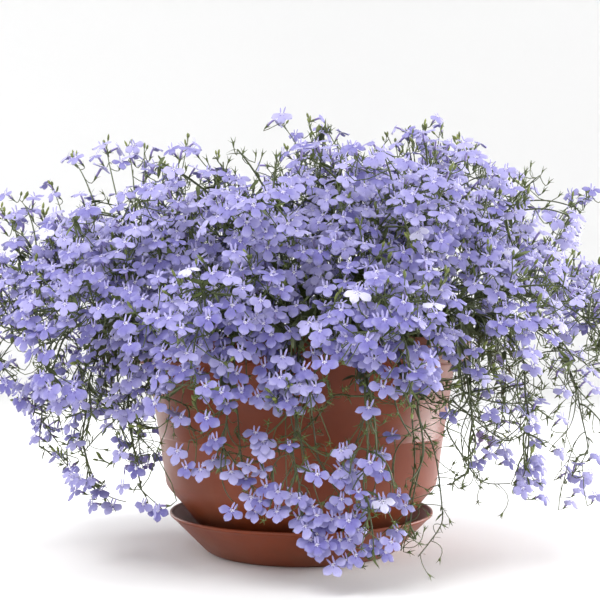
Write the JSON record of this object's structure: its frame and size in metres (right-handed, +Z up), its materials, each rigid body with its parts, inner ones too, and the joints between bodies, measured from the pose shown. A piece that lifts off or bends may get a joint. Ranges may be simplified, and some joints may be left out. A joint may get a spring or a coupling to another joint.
{
  "type": "potted trailing lobelia on a saucer",
  "caption": "Trailing lobelia in full bloom, domed over the rim of a round terracotta-coloured pot that stands on its saucer, with flowering stems hanging round it.",
  "frame": {"origin": "centre of the saucer's underside, on the surface that the saucer stands on", "axes": "+Z up, -Y to the front, +X to the right as seen from the front"},
  "size_m": [0.4936, 0.4308, 0.3174],
  "materials": {
    "terracotta_pot": "satin terracotta-coloured plastic, with dust and limescale",
    "terracotta_saucer": "satin terracotta-coloured plastic, dusty inside",
    "compost": "damp crumbly compost",
    "bloom": "matte periwinkle petals with a white eye",
    "foliage": "matte green stems, leaves, calyces and buds"
  },
  "bodies": {
    "root": {"saucer": "terracotta_saucer", "pot": "terracotta_pot", "soil": "compost", "spray_top_1": "bloom", "spray_top_2": "bloom", "spray_top_3": "bloom", "spray_crown_1": "bloom", "spray_crown_2": "bloom", "spray_crown_3": "bloom", "spray_crown_4": "bloom", "spray_crown_5": "bloom", "spray_crown_6": "bloom", "spray_crown_7": "bloom", "spray_crown_8": "bloom", "spray_shoulder_1": "bloom", "spray_shoulder_2": "bloom", "spray_shoulder_3": "bloom", "spray_shoulder_4": "bloom", "spray_shoulder_5": "bloom", "spray_shoulder_6": "bloom", "spray_shoulder_7": "bloom", "spray_shoulder_8": "bloom", "spray_shoulder_9": "bloom", "spray_shoulder_10": "bloom", "spray_shoulder_11": "bloom", "spray_edge_1": "bloom", "spray_edge_2": "bloom", "spray_edge_3": "bloom", "spray_edge_4": "bloom", "spray_edge_5": "bloom", "spray_edge_6": "bloom", "spray_edge_7": "bloom", "spray_edge_8": "bloom", "spray_edge_9": "bloom", "spray_edge_10": "bloom", "spray_edge_11": "bloom", "spray_edge_12": "bloom", "spray_edge_13": "bloom", "spray_trailing_1": "bloom", "spray_trailing_2": "bloom", "spray_trailing_3": "bloom", "spray_trailing_4": "bloom", "spray_trailing_5": "bloom", "spray_trailing_6": "bloom", "spray_trailing_7": "bloom", "spray_trailing_8": "bloom", "spray_trailing_9": "bloom", "spray_trailing_10": "bloom", "spray_trailing_11": "bloom", "spray_trailing_12": "bloom", "spray_trailing_13": "bloom", "spray_trailing_14": "bloom", "spray_trailing_15": "bloom", "spray_trailing_16": "bloom", "spray_trailing_17": "bloom"}
  },
  "joints": []
}
